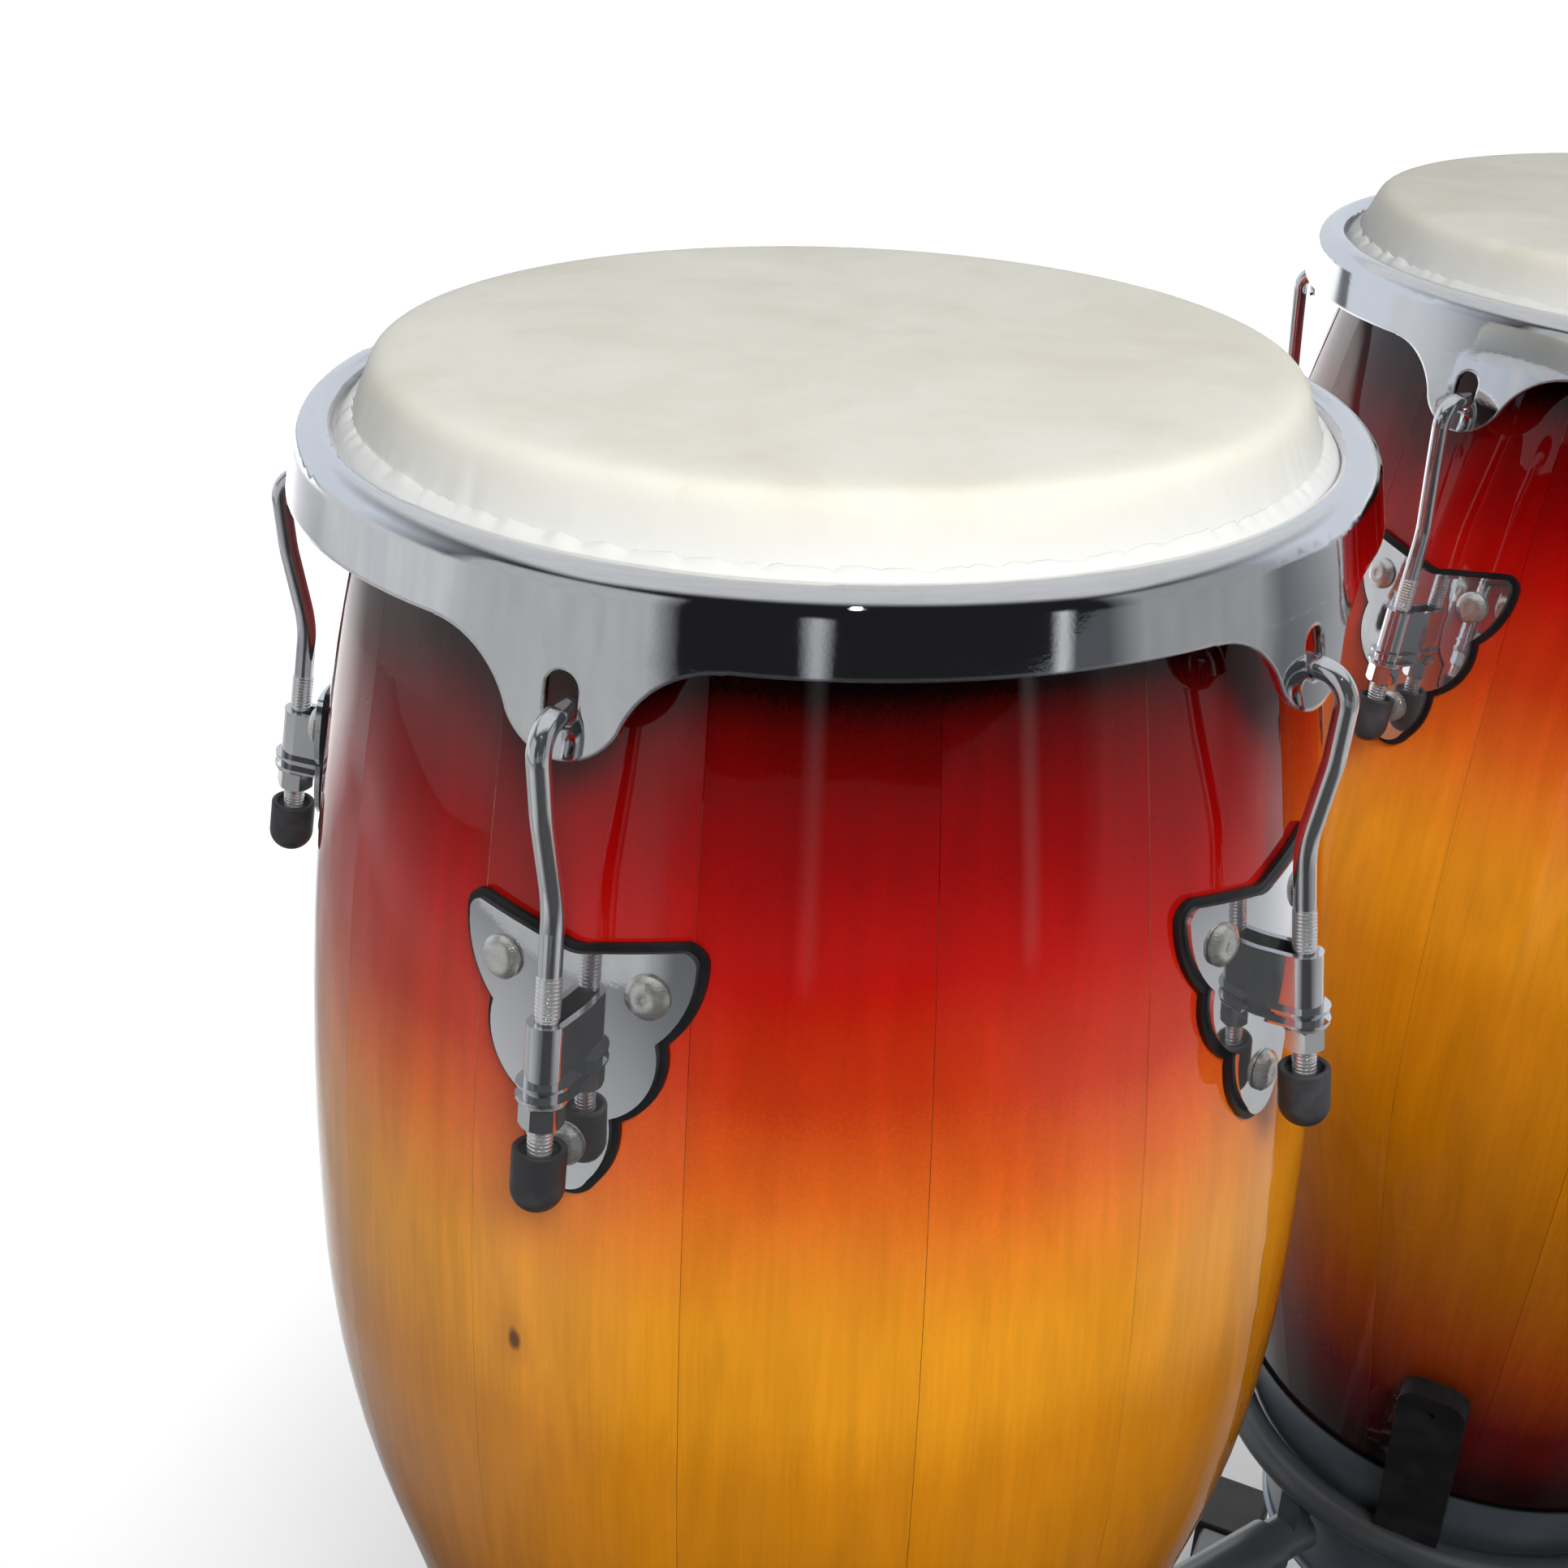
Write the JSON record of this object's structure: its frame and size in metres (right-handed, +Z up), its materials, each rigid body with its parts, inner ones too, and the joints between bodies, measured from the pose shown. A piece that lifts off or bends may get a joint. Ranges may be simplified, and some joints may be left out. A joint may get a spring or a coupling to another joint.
{
  "type": "conga drum pair on stand",
  "caption": "Pair of barrel-shaped hand drums with hide heads, chrome rims and side tuning hooks, held in basket rings on a double stand.",
  "frame": {"origin": "centre of the bounding box on the floor plane", "axes": "+Z up, -Y towards the player; the smaller drum stands at -X and -Y, the larger at +X and +Y"},
  "size_m": [0.7355, 0.6086, 0.9405],
  "materials": {
    "lacquered_wood": "high-gloss sunburst lacquer, black under the rim through red to amber at the belly",
    "hide": "natural rawhide, cloudy cream",
    "chrome": "polished chrome plate",
    "grey_steel": "grey metallic, satin",
    "plain_steel": "zinc plated",
    "black_rubber": "black moulded rubber",
    "dark_paint": "dark grey powder coat, semi-gloss"
  },
  "bodies": {
    "base": {"base_bar_fixed": "dark_paint", "shoes_fixed": "black_rubber", "post": "dark_paint"},
    "swing_leg": {"base_bar_swing": "dark_paint", "shoes_swing": "black_rubber"},
    "mast": {"mast": "chrome"},
    "crossbar": {"crossbar": "dark_paint"},
    "height_screw": {"screw_height": "plain_steel"},
    "first_screw": {"screw_first": "plain_steel"},
    "second_screw": {"screw_second": "plain_steel"},
    "first_basket": {"first_basket": "dark_paint", "first_sleeves": "black_rubber"},
    "first_drum": {"first_staves": "lacquered_wood", "first_bottom_band": "grey_steel", "first_head_skin": "hide", "first_flesh_hoop": "plain_steel", "first_gaskets": "black_rubber", "first_lug_plates": "chrome", "first_fasteners": "chrome"},
    "first_rim": {"first_rim": "chrome"},
    "first_hook_1": {"first_hook_1": "chrome", "first_cap_1": "black_rubber"},
    "first_nut_1": {"first_nut_1": "chrome"},
    "first_hook_2": {"first_hook_2": "chrome", "first_cap_2": "black_rubber"},
    "first_nut_2": {"first_nut_2": "chrome"},
    "first_hook_3": {"first_hook_3": "chrome", "first_cap_3": "black_rubber"},
    "first_nut_3": {"first_nut_3": "chrome"},
    "first_hook_4": {"first_hook_4": "chrome", "first_cap_4": "black_rubber"},
    "first_nut_4": {"first_nut_4": "chrome"},
    "first_hook_5": {"first_hook_5": "chrome", "first_cap_5": "black_rubber"},
    "first_nut_5": {"first_nut_5": "chrome"},
    "second_basket": {"second_basket": "dark_paint", "second_sleeves": "black_rubber"},
    "second_drum": {"second_staves": "lacquered_wood", "second_bottom_band": "grey_steel", "second_head_skin": "hide", "second_flesh_hoop": "plain_steel", "second_gaskets": "black_rubber", "second_lug_plates": "chrome", "second_fasteners": "chrome"},
    "second_rim": {"second_rim": "chrome"},
    "second_hook_1": {"second_hook_1": "chrome", "second_cap_1": "black_rubber"},
    "second_nut_1": {"second_nut_1": "chrome"},
    "second_hook_2": {"second_hook_2": "chrome", "second_cap_2": "black_rubber"},
    "second_nut_2": {"second_nut_2": "chrome"},
    "second_hook_3": {"second_hook_3": "chrome", "second_cap_3": "black_rubber"},
    "second_nut_3": {"second_nut_3": "chrome"},
    "second_hook_4": {"second_hook_4": "chrome", "second_cap_4": "black_rubber"},
    "second_nut_4": {"second_nut_4": "chrome"},
    "second_hook_5": {"second_hook_5": "chrome", "second_cap_5": "black_rubber"},
    "second_nut_5": {"second_nut_5": "chrome"}
  },
  "joints": [
    {"name": "leg_fold", "type": "hinge", "parent": "base", "child": "swing_leg", "pos_m": [-0.00795, -0.00031, 0.045], "axis": [0, 0, 1], "range_deg": [-50, 26]},
    {"name": "mast_height", "type": "slide", "parent": "base", "child": "mast", "axis": [0, 0, 1], "range_m": [0, 0.09]},
    {"name": "height_screw_turn", "type": "hinge", "parent": "base", "child": "height_screw", "pos_m": [0.0085, -0.0254, 0.194], "axis": [0.5483, -0.8363, 0], "range_deg": [0, 180]},
    {"name": "crossbar_turn", "type": "hinge", "parent": "mast", "child": "crossbar", "pos_m": [-0.00795, -0.00031, 0.24], "axis": [0, 0, 1], "continuous": true},
    {"name": "first_screw_turn", "type": "hinge", "parent": "crossbar", "child": "first_screw", "pos_m": [-0.04088, -0.05777, 0.283], "axis": [0.5483, -0.8363, 0], "range_deg": [0, 180]},
    {"name": "first_basket_slide", "type": "slide", "parent": "crossbar", "child": "first_basket", "axis": [-0.8363, -0.5483, 0], "range_m": [-0.009, 0.035]},
    {"name": "first_drum_lift", "type": "slide", "parent": "first_basket", "child": "first_drum", "axis": [0, 0, 1], "range_m": [0, 0.24]},
    {"name": "first_rim_lift", "type": "slide", "parent": "first_drum", "child": "first_rim", "axis": [0, 0, 1], "range_m": [0, 0.004]},
    {"name": "first_hook_1_slide", "type": "slide", "parent": "first_drum", "child": "first_hook_1", "axis": [0.0653, 0.1494, 0.9866], "range_m": [0, 0.0042]},
    {"name": "first_nut_1_turn", "type": "hinge", "parent": "first_drum", "child": "first_nut_1", "pos_m": [-0.25619, -0.27451, 0.78922], "axis": [0.0653, 0.1494, 0.9866], "range_deg": [0, 1500]},
    {"name": "first_hook_2_slide", "type": "slide", "parent": "first_drum", "child": "first_hook_2", "axis": [-0.1219, 0.1082, 0.9866], "range_m": [0, 0.0042]},
    {"name": "first_nut_2_turn", "type": "hinge", "parent": "first_drum", "child": "first_nut_2", "pos_m": [-0.06048, -0.23148, 0.78922], "axis": [-0.1219, 0.1082, 0.9866], "range_deg": [0, 1500]},
    {"name": "first_hook_3_slide", "type": "slide", "parent": "first_drum", "child": "first_hook_3", "axis": [-0.1406, -0.0825, 0.9866], "range_m": [0, 0.0042]},
    {"name": "first_nut_3_turn", "type": "hinge", "parent": "first_drum", "child": "first_nut_3", "pos_m": [-0.04093, -0.03205, 0.78922], "axis": [-0.1406, -0.0825, 0.9866], "range_deg": [0, 1500]},
    {"name": "first_hook_4_slide", "type": "slide", "parent": "first_drum", "child": "first_hook_4", "axis": [0.035, -0.1592, 0.9866], "range_m": [0, 0.0042]},
    {"name": "first_nut_4_turn", "type": "hinge", "parent": "first_drum", "child": "first_nut_4", "pos_m": [-0.22455, 0.04817, 0.78922], "axis": [0.035, -0.1592, 0.9866], "range_deg": [0, 1500]},
    {"name": "first_hook_5_slide", "type": "slide", "parent": "first_drum", "child": "first_hook_5", "axis": [0.1622, -0.0159, 0.9866], "range_m": [0, 0.0042]},
    {"name": "first_nut_5_turn", "type": "hinge", "parent": "first_drum", "child": "first_nut_5", "pos_m": [-0.35759, -0.10168, 0.78922], "axis": [0.1622, -0.0159, 0.9866], "range_deg": [0, 1500]},
    {"name": "second_screw_turn", "type": "hinge", "parent": "crossbar", "child": "second_screw", "pos_m": [0.05787, 0.00697, 0.283], "axis": [0.5483, -0.8363, 0], "range_deg": [0, 180]},
    {"name": "second_basket_slide", "type": "slide", "parent": "crossbar", "child": "second_basket", "axis": [0.8363, 0.5483, 0], "range_m": [-0.009, 0.035]},
    {"name": "second_drum_lift", "type": "slide", "parent": "second_basket", "child": "second_drum", "axis": [0, 0, 1], "range_m": [0, 0.24]},
    {"name": "second_rim_lift", "type": "slide", "parent": "second_drum", "child": "second_rim", "axis": [0, 0, 1], "range_m": [0, 0.004]},
    {"name": "second_hook_1_slide", "type": "slide", "parent": "second_drum", "child": "second_hook_1", "axis": [0.1308, 0.0972, 0.9866], "range_m": [0, 0.0042]},
    {"name": "second_nut_1_turn", "type": "hinge", "parent": "second_drum", "child": "second_nut_1", "pos_m": [0.02312, 0.00708, 0.78922], "axis": [0.1308, 0.0972, 0.9866], "range_deg": [0, 1500]},
    {"name": "second_hook_2_slide", "type": "slide", "parent": "second_drum", "child": "second_hook_2", "axis": [-0.052, 0.1545, 0.9866], "range_m": [0, 0.0042]},
    {"name": "second_nut_2_turn", "type": "hinge", "parent": "second_drum", "child": "second_nut_2", "pos_m": [0.23122, -0.05814, 0.78922], "axis": [-0.052, 0.1545, 0.9866], "range_deg": [0, 1500]},
    {"name": "second_hook_3_slide", "type": "slide", "parent": "second_drum", "child": "second_hook_3", "axis": [-0.163, -0.0017, 0.9866], "range_m": [0, 0.0042]},
    {"name": "second_nut_3_turn", "type": "hinge", "parent": "second_drum", "child": "second_nut_3", "pos_m": [0.35756, 0.11963, 0.78922], "axis": [-0.163, -0.0017, 0.9866], "range_deg": [0, 1500]},
    {"name": "second_hook_4_slide", "type": "slide", "parent": "second_drum", "child": "second_hook_4", "axis": [-0.0487, -0.1555, 0.9866], "range_m": [0, 0.0042]},
    {"name": "second_nut_4_turn", "type": "hinge", "parent": "second_drum", "child": "second_nut_4", "pos_m": [0.22753, 0.29472, 0.78922], "axis": [-0.0487, -0.1555, 0.9866], "range_deg": [0, 1500]},
    {"name": "second_hook_5_slide", "type": "slide", "parent": "second_drum", "child": "second_hook_5", "axis": [0.1329, -0.0944, 0.9866], "range_m": [0, 0.0042]},
    {"name": "second_nut_5_turn", "type": "hinge", "parent": "second_drum", "child": "second_nut_5", "pos_m": [0.02083, 0.22516, 0.78922], "axis": [0.1329, -0.0944, 0.9866], "range_deg": [0, 1500]}
  ],
  "couplings": [
    {"joint": "first_hook_1_slide", "follows": "first_rim_lift", "ratio": 1.0135},
    {"joint": "first_nut_1_turn", "follows": "first_rim_lift", "rad_per_m": 6368.3},
    {"joint": "first_hook_2_slide", "follows": "first_rim_lift", "ratio": 1.0135},
    {"joint": "first_nut_2_turn", "follows": "first_rim_lift", "rad_per_m": 6368.3},
    {"joint": "first_hook_3_slide", "follows": "first_rim_lift", "ratio": 1.0135},
    {"joint": "first_nut_3_turn", "follows": "first_rim_lift", "rad_per_m": 6368.3},
    {"joint": "first_hook_4_slide", "follows": "first_rim_lift", "ratio": 1.0135},
    {"joint": "first_nut_4_turn", "follows": "first_rim_lift", "rad_per_m": 6368.3},
    {"joint": "first_hook_5_slide", "follows": "first_rim_lift", "ratio": 1.0135},
    {"joint": "first_nut_5_turn", "follows": "first_rim_lift", "rad_per_m": 6368.3},
    {"joint": "second_hook_1_slide", "follows": "second_rim_lift", "ratio": 1.0135},
    {"joint": "second_nut_1_turn", "follows": "second_rim_lift", "rad_per_m": 6368.3},
    {"joint": "second_hook_2_slide", "follows": "second_rim_lift", "ratio": 1.0135},
    {"joint": "second_nut_2_turn", "follows": "second_rim_lift", "rad_per_m": 6368.3},
    {"joint": "second_hook_3_slide", "follows": "second_rim_lift", "ratio": 1.0135},
    {"joint": "second_nut_3_turn", "follows": "second_rim_lift", "rad_per_m": 6368.3},
    {"joint": "second_hook_4_slide", "follows": "second_rim_lift", "ratio": 1.0135},
    {"joint": "second_nut_4_turn", "follows": "second_rim_lift", "rad_per_m": 6368.3},
    {"joint": "second_hook_5_slide", "follows": "second_rim_lift", "ratio": 1.0135},
    {"joint": "second_nut_5_turn", "follows": "second_rim_lift", "rad_per_m": 6368.3}
  ]
}
